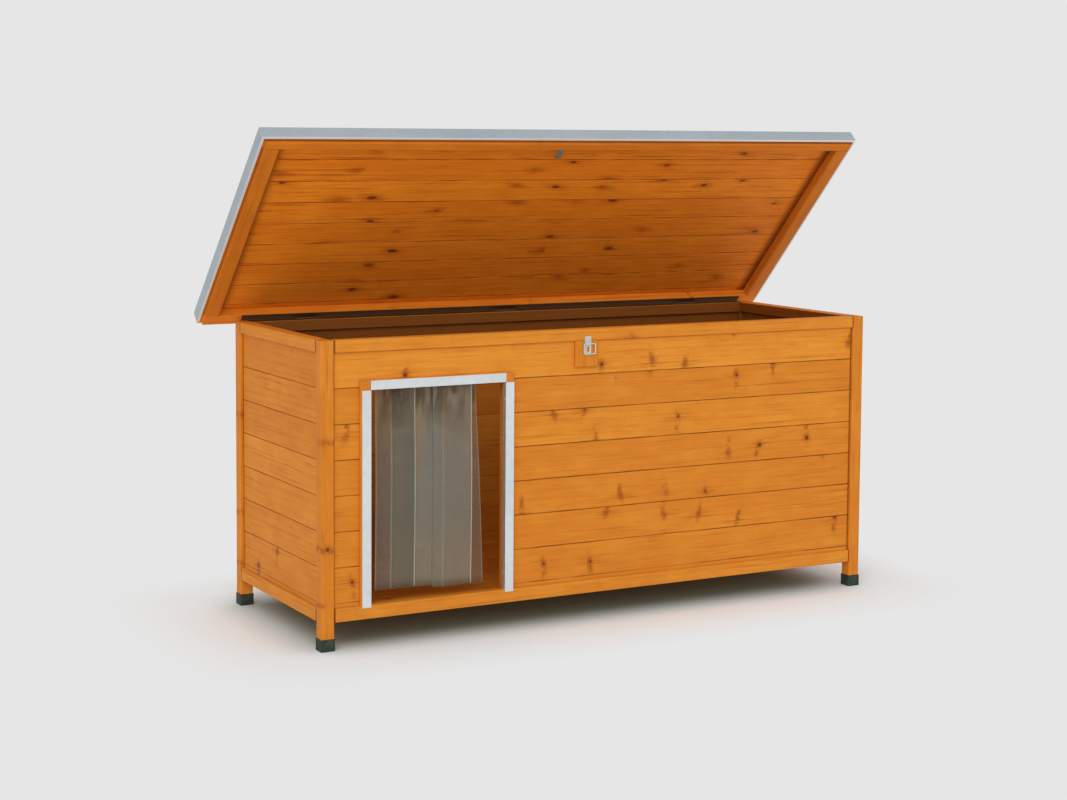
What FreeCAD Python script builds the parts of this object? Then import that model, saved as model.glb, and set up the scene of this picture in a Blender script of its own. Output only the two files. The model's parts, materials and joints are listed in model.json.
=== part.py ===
import FreeCAD
import Part
import math
import os
from FreeCAD import Placement, Rotation, Vector

# Wooden dog house with a lift-up lid. Lengths are in millimetres, angles in degrees.
# X runs along the front from left to right, Y from the front to the back and Z up.
# The house is drawn about the middle of its four posts. At the end it is moved so that the
# origin is on the ground, in the middle of all that the open house covers.

# The box: four posts on plastic feet, joined by rails
house_width = 1500.0
house_depth = 540.0
house_height = 700.0
post_side = 31.0
arris = 1.5
foot_wall = 1.5
foot_height = 28.0
foot_floor = 3.0
foot_corner = 2.0
rail_underside = 64.0
bottom_rail_height = 31.0
top_rail_height = 28.0

# Tongued boards of the walls, housed in the posts and rails
board_thick = 12.0
board_recess = 8.0
board_cover = 81.0
board_bevel = 1.5
housing = 6.0
tongue_thick = 4.0
tongue_high = 5.0
tongue_play = 0.1

# Floor
floor_drop = 5.0
floor_cover = 80.0
bearer_width = 45.0
bearer_count = 4

# Doorway
door_margin = 89.0
door_width = 343.5
board_over_frame = 66.0
jamb_left_width = 25.0
jamb_right_width = 21.5
header_height = 20.0
guard_thick = 1.0
guard_face = 21.0
guard_return = 12.5
guard_lap = 5.0

# Strip curtain. Each strip has its distance from the left jamb, its layer counted from the
# front and the gap under it.
strip_width = 100.0
strip_thick = 2.0
strip_gap = 0.3
strips = [(25.0, 0, 24.0), (64.0, 1, 23.0), (97.0, 2, 21.0), (170.0, 0, 17.0), (197.0, 1, 15.0)]
strip_round = 4.0
last_strip_trim = 16.0
last_strip_flare = 21.0
bend_drop = 2.0
bend_half = 4.0
clamp_high = 14.0
clamp_thick = 3.0
clamp_past = 5.0
clamp_lift = 3.0

# Latch under the top rail, and its keeper on the lid
latch_x = -68.0
block_left = 33.0
block_right = 28.0
block_high = 62.0
plate_wide = 17.0
plate_thick = 2.0
plate_rise = 11.0
plate_high = 45.0
plate_corner = 3.0
slot_wide = 8.0
slot_high = 14.0
slot_lift = 7.0
wire = 3.0
wire_play = 0.05
eye_wall = 1.45
eye_lift = 0.4
pivot_lift = 26.5
bail_wide = 31.0
bail_reach = 24.0
bail_shift = 3.5
bail_corner = 3.2
keeper_wide = 14.0
keeper_thick = 2.0
keeper_clear = 14.45
keeper_lip = 7.0
keeper_high = 18.0
keeper_lift = 1.0

# Lid
lid_over_left = 90.0
lid_over_right = 52.0
lid_over_front = 78.1
lid_over_back = 16.9
lid_angle = 45.3
lid_frame_thick = 24.0
lid_rail_width = 31.0
side_rail_width = 46.0
side_tenon_long = 12.0
side_tenon_thick = 9.0
rabbet_wide = 11.0
rabbet_deep = 8.0
lid_board_cover = 72.0
lid_board_start = 32.0
felt_thick = 2.0
flange_thick = 1.0
flange_top = 25.0
flange_hem = 4.0
flange_stop = 5.0

# Butt hinges of the lid
hinge_inset = 190.0
hinge_long = 60.0
hinge_out = 3.9
hinge_drop = 2.5
knuckle_radius = 3.6
knuckle_gap = 0.3
pin_radius = 1.5
pin_play = 0.05
pin_head_radius = 2.6
pin_head_thick = 1.2
leaf_thick = 1.5
box_leaf_high = 36.0

# What follows from the sizes above
half_width = house_width / 2
half_depth = house_depth / 2
front = -half_depth
inner_x = half_width - post_side
inner_y = half_depth - post_side
frame_back = front + post_side
rail_top = rail_underside + bottom_rail_height
wall_top = house_height - top_rail_height
floor_top = rail_top - floor_drop
frame_top = wall_top - board_over_frame
door_top = frame_top - header_height
door_left = door_margin - inner_x
door_right = door_left + door_width
bend_z = door_top - bend_drop
strip_pitch = strip_thick + strip_gap
bore_radius = wire / 2 + wire_play
pivot_y = front - plate_thick - eye_lift - bore_radius
hinge_y = half_depth + hinge_out
hinge_z = house_height - hinge_drop
hinge_places = [hinge_inset - half_width, 0.0, half_width - hinge_inset]
plate_foot = wall_top + plate_rise - plate_high
slot_foot = plate_foot + slot_lift
pivot_height = plate_foot + pivot_lift
lid_under = hinge_out
lid_face = lid_under + lid_frame_thick
lid_roof = lid_face + board_thick
lid_top = lid_roof + felt_thick
lid_front_reach = house_depth + hinge_out + lid_over_front
lid_rear_reach = lid_over_back - hinge_out
keeper_reach = lid_front_reach - lid_rail_width - (hinge_y - pivot_y) - keeper_clear
lid_left = -half_width - lid_over_left
lid_right = half_width + lid_over_right


def box(x0, x1, y0, y1, z0, z1):
    return Part.makeBox(x1 - x0, y1 - y0, z1 - z0, Vector(x0, y0, z0))


def prism(points, along):
    outline = Part.makePolygon([Vector(*p) for p in points + points[:1]])
    return Part.Face(outline).extrude(Vector(*along))


def rod(x0, x1, y, z, radius):
    return Part.makeCylinder(radius, x1 - x0, Vector(x0, y, z), Vector(1, 0, 0))


def timber(x0, x1, y0, y1, z0, z1):
    """A planed bar with its four long edges chamfered."""
    low = [x0, y0, z0]
    sizes = [x1 - x0, y1 - y0, z1 - z0]
    run = sizes.index(max(sizes))
    across = [i for i in range(3) if i != run]
    wide = sizes[across[0]]
    thick = sizes[across[1]]
    outline = [(arris, 0), (wide - arris, 0), (wide, arris), (wide, thick - arris),
               (wide - arris, thick), (arris, thick), (0, thick - arris), (0, arris)]
    points = []
    for shift in outline:
        point = list(low)
        point[across[0]] += shift[0]
        point[across[1]] += shift[1]
        points.append(point)
    along = [0, 0, 0]
    along[run] = sizes[run]
    return prism(points, along)


def tongued_board(x0, x1, low, high, grooved, tongued):
    """One board along X. Its show face is at y = 0, and a tongue rises from its upper edge."""
    near = (board_thick - tongue_thick) / 2
    far = (board_thick + tongue_thick) / 2
    root = low + tongue_high + tongue_play
    outline = [(board_bevel, low)]
    if grooved:
        outline += [(near - tongue_play, low), (near - tongue_play, root),
                    (far + tongue_play, root), (far + tongue_play, low)]
    outline += [(board_thick - board_bevel, low), (board_thick, low + board_bevel),
                (board_thick, high - board_bevel), (board_thick - board_bevel, high)]
    if tongued:
        outline += [(far, high), (far, high + tongue_high), (near, high + tongue_high), (near, high)]
    outline += [(board_bevel, high), (0, high - board_bevel), (0, low + board_bevel)]
    return prism([(x0, y, z) for y, z in outline], (x1 - x0, 0, 0))


def board_courses(x0, x1, edges):
    last = len(edges) - 2
    return [tongued_board(x0, x1, edges[i], edges[i + 1], i > 0, i < last) for i in range(last + 1)]


def wall_edges():
    """Board joints from the bottom rail to the top rail. The lowest board takes what is left over."""
    count = int((wall_top - rail_top) / board_cover)
    joints = [wall_top - board_cover * k for k in range(count - 1, 0, -1)]
    return [rail_top - housing] + joints + [wall_top + housing]


def moved(shape, x, y, z, axis=(0, 0, 1), turn=0):
    placed = shape.copy()
    placed.Placement = Placement(Vector(x, y, z), Rotation(Vector(*axis), turn)).multiply(shape.Placement)
    return placed


def stand(shape, side):
    """Walls are drawn with their outer face at y = 0. This sets one on its side of the box."""
    spots = {"front": (0, front, 0), "back": (0, half_depth, 180),
             "left": (-half_width, 0, -90), "right": (half_width, 0, 90)}
    x, y, turn = spots[side]
    return moved(shape, x, y, 0, turn=turn)


def panel_slot(x0, x1, z0, z1):
    """The band of a wall that the board thickness takes, between two places along it."""
    return box(x0, x1, board_recess, board_recess + board_thick, z0, z1)


def wall_rail(reach, z0, z1, slots):
    """A rail between two posts, with stub tenons in the post grooves and slots for the boards."""
    body = timber(-reach, reach, 0, post_side, z0, z1)
    tenons = panel_slot(-reach - housing, reach + housing, z0, z1)
    rail = body.fuse(tenons).removeSplitter()
    for slot in slots:
        rail = rail.cut(slot)
    return rail


def bottom_rail(reach, stretches):
    slots = [panel_slot(a, b, rail_top - housing, rail_top) for a, b in stretches]
    return wall_rail(reach, rail_underside, rail_top, slots)


def top_rail(reach):
    slot = panel_slot(-reach - housing, reach + housing, wall_top, wall_top + housing)
    return wall_rail(reach, wall_top, house_height, [slot])


def plain_wall(reach):
    end = reach + housing
    boards = [moved(b, 0, board_recess, 0) for b in board_courses(-end, end, wall_edges())]
    return {"rail_bottom": [bottom_rail(reach, [(-end, end)])], "rail_top": [top_rail(reach)], "boards": boards}


def front_wall():
    """The front has short boards beside the doorway and one long board notched over its frame."""
    end = inner_x + housing
    frame_left = door_left - jamb_left_width + housing
    frame_right = door_right + jamb_right_width - housing
    edges = wall_edges()
    short = edges[:-1]
    left = [tongued_board(-end, frame_left, short[i], short[i + 1], i > 0, True) for i in range(len(short) - 1)]
    right = [tongued_board(frame_right, end, short[i], short[i + 1], i > 0, True) for i in range(len(short) - 1)]
    over = tongued_board(-end, end, edges[-2], edges[-1], True, False)
    over = over.cut(box(frame_left, frame_right, -1, board_thick + 1, edges[-2] - 1, frame_top))
    return {
        "rail_bottom": [bottom_rail(inner_x, [(-end, frame_left), (frame_right, end)])],
        "rail_top": [top_rail(inner_x)],
        "boards_left": [moved(b, 0, board_recess, 0) for b in left],
        "boards_right": [moved(b, 0, board_recess, 0) for b in right],
        "board_over_door": [moved(over, 0, board_recess, 0)],
    }


def corner_post():
    """The front left post, grooved for the front wall and the left wall."""
    post = timber(-half_width, -inner_x, front, frame_back, foot_floor, house_height)
    front_groove = panel_slot(-inner_x - housing, -inner_x, rail_underside, house_height)
    side_groove = panel_slot(inner_y, inner_y + housing, rail_underside, house_height)
    post = post.cut(stand(front_groove, "front"))
    return post.cut(stand(side_groove, "left"))


def corner_foot():
    outer = box(-half_width - foot_wall, -inner_x + foot_wall, front - foot_wall, frame_back + foot_wall,
                0, foot_height)
    upright = [e for e in outer.Edges if abs(e.tangentAt(e.FirstParameter).z) > 0.5]
    outer = outer.makeFillet(foot_corner, upright)
    rim = [e for e in outer.Edges if e.BoundBox.ZMin > foot_height - 0.1]
    outer = outer.makeChamfer(foot_wall / 2, rim)
    return outer.cut(box(-half_width, -inner_x, front, frame_back, foot_floor, foot_height))


def four_corners(shape):
    across = shape.mirror(Vector(0, 0, 0), Vector(1, 0, 0))
    behind = Vector(0, 1, 0)
    return {"front_left": shape, "front_right": across,
            "back_left": shape.mirror(Vector(0, 0, 0), behind),
            "back_right": across.mirror(Vector(0, 0, 0), behind)}


def floor_panel():
    count = int(2 * inner_y / floor_cover)
    edges = [-inner_y + floor_cover * k for k in range(count + 1)] + [inner_y]
    boards = [moved(b, 0, 0, floor_top, (1, 0, 0), -90) for b in board_courses(-inner_x, inner_x, edges)]
    step = (2 * inner_x - bearer_width) / (bearer_count - 1)
    bearers = []
    for i in range(bearer_count):
        start = -inner_x + step * i
        bearers.append(timber(start, start + bearer_width, -inner_y, inner_y, rail_underside, floor_top - board_thick))
    return {"floor_boards": boards, "floor_bearers": bearers}


def door_frame():
    """Jambs grooved for the short boards, and a header tenoned between them."""
    left_edge = door_left - jamb_left_width
    right_edge = door_right + jamb_right_width
    left = timber(left_edge, door_left, 0, post_side, rail_top, frame_top)
    right = timber(door_right, right_edge, 0, post_side, rail_top, frame_top)
    left = left.cut(panel_slot(left_edge, left_edge + housing, rail_top, frame_top))
    right = right.cut(panel_slot(right_edge - housing, right_edge, rail_top, frame_top))
    tenons = panel_slot(door_left - housing, door_right + housing, door_top, frame_top)
    header = timber(door_left, door_right, 0, post_side, door_top, frame_top).fuse(tenons).removeSplitter()
    return {"door_jamb_left": [stand(left.cut(tenons), "front")],
            "door_jamb_right": [stand(right.cut(tenons), "front")],
            "door_header": [stand(header, "front")]}


def guard_profile():
    """Angle section: one leg lies on the face of the frame, the other turns into the doorway."""
    return [(-guard_face, -guard_thick), (guard_thick, -guard_thick), (guard_thick, guard_return),
            (0, guard_return), (0, 0), (-guard_face, 0)]


def bite_guards():
    foot = rail_top - guard_lap
    rise = bend_z - foot
    inside = box(0, guard_thick, 0, guard_return, foot, rail_top)
    side = prism([(x, y, foot) for x, y in guard_profile()], (0, 0, rise)).cut(inside)
    left = moved(side, door_left, front, 0)
    right = moved(side.mirror(Vector(0, 0, 0), Vector(1, 0, 0)), door_right, front, 0)
    over = [(door_left, front + y, door_top - x) for x, y in guard_profile()]
    top = prism(over, (door_right - door_left, 0, 0))
    top = top.cut(box(door_left, door_right, front - guard_thick, front, frame_top, frame_top + guard_face))
    return {"bite_guard_left": [left], "bite_guard_right": [right], "bite_guard_top": [top]}


def strip_place(index):
    margin, layer, gap = strips[index]
    return door_left + margin, frame_back + strip_pitch * layer, rail_top + gap


def strip_top_width(index):
    return strip_width - last_strip_trim if index == len(strips) - 1 else strip_width


def curtain_strip(index):
    left, face, foot = strip_place(index)
    right = left + strip_top_width(index)
    flare = last_strip_flare if index == len(strips) - 1 else 0
    top = bend_z - bend_half
    outline = [(left, face, foot), (right + flare, face, foot), (right, face, top), (left, face, top)]
    strip = prism(outline, (0, strip_thick, 0))
    low = [e for e in strip.Edges if e.BoundBox.ZMax < foot + 1 and e.BoundBox.YLength > strip_thick / 2
           and e.BoundBox.XLength < 1]
    return strip.makeFillet(strip_round, low)


def curtain():
    """Five strips in three layers. Their upper ends stay clamped behind the header."""
    ends = []
    for i in range(len(strips)):
        left, face, foot = strip_place(i)
        ends.append(box(left, left + strip_top_width(i), face, face + strip_pitch, bend_z + bend_half, frame_top))
    back = frame_back + strip_pitch * (max(layer for margin, layer, gap in strips) + 1)
    clamp_foot = door_top + clamp_lift
    clamp_end = strip_place(len(strips) - 1)[0] + strip_width + clamp_past
    clamp = box(strip_place(0)[0] - clamp_past, clamp_end, back, back + clamp_thick, clamp_foot, clamp_foot + clamp_high)
    nodes = {"curtain_top_ends": ends, "curtain_clamp": [clamp]}
    for i in range(len(strips)):
        nodes["curtain_strip_%d" % (i + 1)] = [curtain_strip(i)]
    return nodes


def latch_plate():
    half = plate_wide / 2
    plate = box(latch_x - half, latch_x + half, front - plate_thick, front, plate_foot, plate_foot + plate_high)
    through = [e for e in plate.Edges if abs(e.tangentAt(e.FirstParameter).y) > 0.5]
    plate = plate.makeFillet(plate_corner, through)
    slot = box(latch_x - slot_wide / 2, latch_x + slot_wide / 2, front - plate_thick, front,
               slot_foot, slot_foot + slot_high)
    through = [e for e in slot.Edges if abs(e.tangentAt(e.FirstParameter).y) > 0.5]
    plate = plate.cut(slot.makeFillet(slot_wide / 2 - 0.01, through))
    eye = rod(latch_x - half, latch_x + half, pivot_y, pivot_height, bore_radius + eye_wall)
    eye = eye.cut(box(latch_x - half, latch_x + half, front, front + post_side, 0, house_height))
    return plate.fuse(eye).cut(rod(latch_x - half, latch_x + half, pivot_y, pivot_height, bore_radius))


def latch_bail():
    """A closed wire loop that hangs from the eye of the plate."""
    middle = latch_x + bail_shift
    left = middle - bail_wide / 2
    right = middle + bail_wide / 2
    foot = pivot_height - bail_reach
    r = bail_corner
    bend = r * (1 - math.sqrt(0.5))

    def at(x, z):
        return Vector(x, pivot_y, z)

    edges = [
        Part.LineSegment(at(left + r, pivot_height), at(right - r, pivot_height)),
        Part.Arc(at(right - r, pivot_height), at(right - bend, pivot_height - bend), at(right, pivot_height - r)),
        Part.LineSegment(at(right, pivot_height - r), at(right, foot + r)),
        Part.Arc(at(right, foot + r), at(right - bend, foot + bend), at(right - r, foot)),
        Part.LineSegment(at(right - r, foot), at(left + r, foot)),
        Part.Arc(at(left + r, foot), at(left + bend, foot + bend), at(left, foot + r)),
        Part.LineSegment(at(left, foot + r), at(left, pivot_height - r)),
        Part.Arc(at(left, pivot_height - r), at(left + bend, pivot_height - bend), at(left + r, pivot_height)),
    ]
    path = Part.Wire([e.toShape() for e in edges])
    section = Part.Wire(Part.Circle(at(left + r, pivot_height), Vector(1, 0, 0), wire / 2).toShape())
    return path.makePipeShell([section], True, False)


def latch():
    block = box(latch_x - block_left, latch_x + block_right, front, front + board_recess,
                wall_top - block_high, wall_top)
    lower = [e for e in block.Edges if e.BoundBox.YMax < front + 0.1 and e.BoundBox.ZMin < wall_top - 0.1]
    block = block.makeChamfer(arris, lower)
    return {"latch_block": [block], "latch_plate": [latch_plate()], "latch_bail": [latch_bail()]}


def lid_keeper():
    """A hooked strap on the inner face of the lid's front rail. The bail drops behind its lip."""
    inner = lid_rail_width - lid_front_reach
    tip = inner + keeper_reach
    low = lid_under + keeper_lift
    t = keeper_thick
    outline = [(inner, low), (tip, low), (tip, low + keeper_lip), (tip - t, low + keeper_lip),
               (tip - t, low + t), (inner + t, low + t), (inner + t, low + keeper_high), (inner, low + keeper_high)]
    return prism([(latch_x - keeper_wide / 2, y, z) for y, z in outline], (keeper_wide, 0, 0))


def lid_frame():
    """Full-length front and rear rails, with the side rails tenoned between them."""
    back = lid_rear_reach
    rear_joint = back - lid_rail_width
    front_joint = lid_rail_width - lid_front_reach
    margins = [
        box(lid_left, lid_right, -lid_front_reach, rabbet_wide - lid_front_reach, lid_under, lid_under + rabbet_deep),
        box(lid_left, lid_left + rabbet_wide, -lid_front_reach, back, lid_under, lid_under + rabbet_deep),
        box(lid_right - rabbet_wide, lid_right, -lid_front_reach, back, lid_under, lid_under + rabbet_deep),
    ]
    rails = {
        "lid_rail_front": timber(lid_left, lid_right, -lid_front_reach, front_joint, lid_under, lid_face),
        "lid_rail_rear": timber(lid_left, lid_right, rear_joint, back, lid_under, lid_face),
        "lid_rail_left": timber(lid_left, lid_left + side_rail_width, front_joint, rear_joint, lid_under, lid_face),
        "lid_rail_right": timber(lid_right - side_rail_width, lid_right, front_joint, rear_joint, lid_under, lid_face),
    }
    tenon_foot = lid_under + (lid_frame_thick - side_tenon_thick) / 2
    spots = {"lid_rail_left": lid_left, "lid_rail_right": lid_right - side_rail_width}
    for name, start in spots.items():
        tenons = box(start + rabbet_wide, start + side_rail_width - rabbet_wide, front_joint - side_tenon_long,
                     rear_joint + side_tenon_long, tenon_foot, tenon_foot + side_tenon_thick)
        rails["lid_rail_front"] = rails["lid_rail_front"].cut(tenons)
        rails["lid_rail_rear"] = rails["lid_rail_rear"].cut(tenons)
        rails[name] = rails[name].fuse(tenons).removeSplitter()
    for name in rails:
        for margin in margins:
            rails[name] = rails[name].cut(margin)
    return {name: [rail] for name, rail in rails.items()}


def lid_boards():
    count = int((lid_front_reach - lid_board_start) / lid_board_cover)
    edges = [-lid_rear_reach] + [lid_board_start + lid_board_cover * k for k in range(count)] + [lid_front_reach]
    return [moved(b, 0, 0, lid_face, (1, 0, 0), 90) for b in board_courses(lid_left, lid_right, edges)]


def flange_profile():
    """Galvanised edging: a leg on the roof, a leg down the edge and a hem under it."""
    t = flange_thick
    hem = lid_under + rabbet_deep
    return [(-t, hem - t), (flange_hem, hem - t), (flange_hem, hem), (0, hem), (0, lid_top),
            (flange_top, lid_top), (flange_top, lid_top + t), (-t, lid_top + t)]


def lid_flanges():
    profile = flange_profile()
    start = lid_left - flange_thick
    run = lid_right - lid_left + 2 * flange_thick
    fore = prism([(start, d - lid_front_reach, z) for d, z in profile], (run, 0, 0))
    length = lid_front_reach + lid_rear_reach - flange_stop
    left = prism([(lid_left + d, -lid_front_reach, z) for d, z in profile], (0, length, 0))
    right = prism([(lid_right - d, -lid_front_reach, z) for d, z in profile], (0, length, 0))
    return {"lid_flange_front": [fore], "lid_flange_left": [left.cut(fore)], "lid_flange_right": [right.cut(fore)]}


def box_leaf(x):
    """The leaf on the back of the top rail carries the two outer knuckles."""
    x0 = x - hinge_long / 2
    third = hinge_long / 3
    plate = box(x0, x0 + hinge_long, half_depth, half_depth + leaf_thick, hinge_z - box_leaf_high, hinge_z)
    notch = box(x0 + third, x0 + 2 * third, half_depth, half_depth + leaf_thick,
                hinge_z - knuckle_radius - knuckle_gap, hinge_z)
    leaf = plate.cut(notch)
    for start in (x0, x0 + 2 * third):
        leaf = leaf.fuse(rod(start, start + third, hinge_y, hinge_z, knuckle_radius))
    return leaf.cut(rod(x0, x0 + hinge_long, hinge_y, hinge_z, pin_radius))


def lid_leaf(x):
    """The leaf under the lid's rear overhang carries the middle knuckle."""
    x0 = x - hinge_long / 2
    third = hinge_long / 3
    leaf = box(x0, x0 + hinge_long, 0, lid_rear_reach, lid_under - leaf_thick, lid_under)
    clear = knuckle_radius + knuckle_gap
    for start in (x0, x0 + 2 * third - knuckle_gap):
        leaf = leaf.cut(box(start, start + third + knuckle_gap, 0, clear, 0, lid_under))
    leaf = leaf.fuse(rod(x0 + third + knuckle_gap, x0 + 2 * third - knuckle_gap, 0, 0, knuckle_radius))
    return leaf.cut(rod(x0, x0 + hinge_long, 0, 0, pin_radius + pin_play))


def hinge_pin(x):
    x0 = x - hinge_long / 2
    x1 = x + hinge_long / 2
    pin = rod(x0, x1, hinge_y, hinge_z, pin_radius)
    pin = pin.fuse(rod(x0 - pin_head_thick, x0, hinge_y, hinge_z, pin_head_radius))
    return pin.fuse(rod(x1, x1 + pin_head_thick, hinge_y, hinge_z, pin_head_radius)).removeSplitter()


def house_nodes():
    nodes = {}
    for corner, shape in four_corners(corner_post()).items():
        nodes["post_" + corner] = [shape]
    for corner, shape in four_corners(corner_foot()).items():
        nodes["foot_" + corner] = [shape]
    walls = {"front": front_wall(), "back": plain_wall(inner_x), "left": plain_wall(inner_y),
             "right": plain_wall(inner_y)}
    for side, wall in walls.items():
        for piece, shapes in wall.items():
            nodes[side + "_" + piece] = [stand(s, side) for s in shapes]
    nodes.update(floor_panel())
    nodes.update(door_frame())
    nodes.update(bite_guards())
    nodes.update(curtain())
    nodes.update(latch())
    nodes["hinge_leaves_box"] = [box_leaf(x) for x in hinge_places]
    nodes["hinge_pins"] = [hinge_pin(x) for x in hinge_places]
    return nodes


def lid_nodes():
    """The lid is drawn flat about its hinge line, reaching forward, and then swung open."""
    nodes = lid_frame()
    nodes["lid_boards"] = lid_boards()
    nodes["lid_felt"] = [box(lid_left, lid_right, -lid_front_reach, lid_rear_reach, lid_roof, lid_top)]
    nodes.update(lid_flanges())
    nodes["latch_keeper"] = [lid_keeper()]
    nodes["hinge_leaves_lid"] = [lid_leaf(x) for x in hinge_places]
    swing = Placement(Vector(0, hinge_y, hinge_z), Rotation(Vector(1, 0, 0), -lid_angle))
    for shapes in nodes.values():
        for shape in shapes:
            shape.Placement = swing.multiply(shape.Placement)
    return nodes


def covered_middle():
    """The middle of what the open house covers, from the latch in front to the lid's rear corner."""
    swing = math.radians(lid_angle)
    rear = hinge_y + lid_rear_reach * math.cos(swing) + lid_top * math.sin(swing)
    fore = pivot_y - bore_radius - eye_wall
    return Vector((lid_left + lid_right) / 2, (fore + rear) / 2, 0)


os.makedirs("parts", exist_ok=True)
middle = covered_middle()
pieces = house_nodes()
pieces.update(lid_nodes())
for name, shapes in pieces.items():
    solids = [s.translated(middle * -1) for s in shapes]
    whole = solids[0] if len(solids) == 1 else Part.makeCompound(solids)
    whole.exportStep("parts/%s.step" % name)
    print(name, len(whole.Solids), round(whole.Volume / 1000, 2), "cm3", whole.isValid())
print("origin at", middle, "of the post frame")
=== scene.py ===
import json
import math

import bpy
from mathutils import Matrix, Vector


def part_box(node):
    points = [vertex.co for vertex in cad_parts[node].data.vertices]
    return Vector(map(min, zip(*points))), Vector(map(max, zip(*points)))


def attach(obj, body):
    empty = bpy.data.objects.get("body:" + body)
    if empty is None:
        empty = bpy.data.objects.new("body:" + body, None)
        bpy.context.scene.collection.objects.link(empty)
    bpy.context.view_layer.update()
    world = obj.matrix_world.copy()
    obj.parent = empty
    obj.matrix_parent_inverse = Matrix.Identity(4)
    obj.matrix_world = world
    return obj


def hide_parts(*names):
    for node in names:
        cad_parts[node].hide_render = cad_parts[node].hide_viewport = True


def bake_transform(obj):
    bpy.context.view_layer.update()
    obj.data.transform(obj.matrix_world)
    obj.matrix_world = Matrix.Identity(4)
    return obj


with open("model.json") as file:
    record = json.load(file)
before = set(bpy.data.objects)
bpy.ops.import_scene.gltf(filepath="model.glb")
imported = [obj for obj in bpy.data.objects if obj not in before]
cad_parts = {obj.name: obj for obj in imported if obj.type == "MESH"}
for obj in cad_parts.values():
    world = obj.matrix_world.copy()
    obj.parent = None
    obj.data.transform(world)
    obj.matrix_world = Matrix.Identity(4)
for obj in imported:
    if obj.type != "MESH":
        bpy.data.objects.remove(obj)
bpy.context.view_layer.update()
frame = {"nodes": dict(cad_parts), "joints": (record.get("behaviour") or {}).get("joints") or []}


def lowSide(node, axis):
    # the lowest place of a CAD piece along x, y or z
    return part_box(node)[0]["xyz".index(axis)]


def highSide(node, axis):
    # the highest
    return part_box(node)[1]["xyz".index(axis)]


def stainColour(red, green, blue):
    # screen colour from 0 to 255, turned into the linear colour that shaders take
    def linear(part):
        part = part / 255
        return part / 12.92 if part <= 0.04045 else ((part + 0.055) / 1.055) ** 2.4
    return (linear(red), linear(green), linear(blue), 1)


class Wire:
    # one output of a shader node, ready for sums
    def __init__(self, finish, socket):
        self.finish = finish
        self.socket = socket

    def maths(self, operation, *values):
        return self.finish.add("ShaderNodeMath", {"operation": operation}, list(values))

    def __add__(self, other):
        return self.maths("ADD", self, other)

    def __radd__(self, other):
        return self.maths("ADD", other, self)

    def __sub__(self, other):
        return self.maths("SUBTRACT", self, other)

    def __rsub__(self, other):
        return self.maths("SUBTRACT", other, self)

    def __mul__(self, other):
        return self.maths("MULTIPLY", self, other)

    def __rmul__(self, other):
        return self.maths("MULTIPLY", other, self)

    def __truediv__(self, other):
        return self.maths("DIVIDE", self, other)

    def __pow__(self, other):
        return self.maths("POWER", self, other)

    def floor(self):
        return self.maths("FLOOR", self)

    def sine(self):
        return self.maths("SINE", self)

    def size(self):
        return self.maths("ABSOLUTE", self)

    def atLeast(self, other):
        return self.maths("MAXIMUM", self, other)

    def atMost(self, other):
        return self.maths("MINIMUM", self, other)

    def over(self, other):
        return self.maths("GREATER_THAN", self, other)

    def ramp(self, low, high, start=0.0, end=1.0):
        settings = {"interpolation_type": "SMOOTHSTEP"}
        return self.finish.add("ShaderNodeMapRange", settings, [self, low, high, start, end])

    def also(self, output):
        # another output of the same node
        return Wire(self.finish, self.socket.node.outputs[output])


class Finish:
    # a material or the world, and the nodes that make it
    def __init__(self, holder):
        self.holder = holder
        holder.use_nodes = True
        self.tree = holder.node_tree
        self.tree.nodes.clear()

    def add(self, kind, settings=None, inputs=None, output=0):
        node = self.tree.nodes.new(kind)
        for key, value in (settings or {}).items():
            setattr(node, key, value)
        pairs = inputs.items() if isinstance(inputs, dict) else enumerate(inputs or [])
        for key, value in pairs:
            if isinstance(value, Wire):
                self.tree.links.new(value.socket, node.inputs[key])
            elif value is not None:
                node.inputs[key].default_value = value
        return Wire(self, node.outputs[output]) if len(node.outputs) else None

    def place(self, turn=(0, 0, 0)):
        spot = self.add("ShaderNodeTexCoord", output="Object")
        if any(turn):
            spot = self.add("ShaderNodeMapping", {"vector_type": "POINT"}, {"Vector": spot, "Rotation": turn})
        return spot

    def split(self, vector):
        first = self.add("ShaderNodeSeparateXYZ", {}, [vector])
        return [first, first.also(1), first.also(2)]

    def join(self, x, y, z):
        return self.add("ShaderNodeCombineXYZ", {}, [x, y, z])

    def noise(self, vector, scale, detail=2.0, roughness=0.5):
        return self.add("ShaderNodeTexNoise", {"noise_dimensions": "3D"},
                        {"Vector": vector, "Scale": scale, "Detail": detail, "Roughness": roughness}, "Fac")

    def cells(self, vector, scale, output, settings=None, randomness=1.0):
        return self.add("ShaderNodeTexVoronoi", {"feature": "F1", **(settings or {})},
                        {"Vector": vector, "Scale": scale, "Randomness": randomness}, output)

    def chance(self, value):
        return self.add("ShaderNodeTexWhiteNoise", {"noise_dimensions": "1D"}, {"W": value}, "Value")

    def mix(self, amount, first, second, way="MIX"):
        return self.add("ShaderNodeMix", {"data_type": "RGBA", "blend_type": way},
                        {0: amount, 6: first, 7: second}, 2)

    def bump(self, height, strength, distance):
        return self.add("ShaderNodeBump", {}, {"Height": height, "Strength": strength, "Distance": distance})

    def finish(self, colour, roughness=0.5, metallic=0.0, normal=None, alpha=None, gloss=0.5):
        surface = self.add("ShaderNodeBsdfPrincipled", {}, {"Base Color": colour, "Roughness": roughness,
                                                          "Metallic": metallic, "Normal": normal,
                                                          "Alpha": alpha, "Specular IOR Level": gloss})
        self.add("ShaderNodeOutputMaterial", {}, [surface])
        return self.holder


def newFinish(name):
    return Finish(bpy.data.materials.new(name))


def wear(material, *nodes):
    # gives CAD pieces their finish
    for name in nodes:
        piece = frame["nodes"][name]
        piece.data.materials.clear()
        piece.data.materials.append(material)


def within(value, low, high):
    return value.over(low) * (1 - value.over(high))


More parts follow.
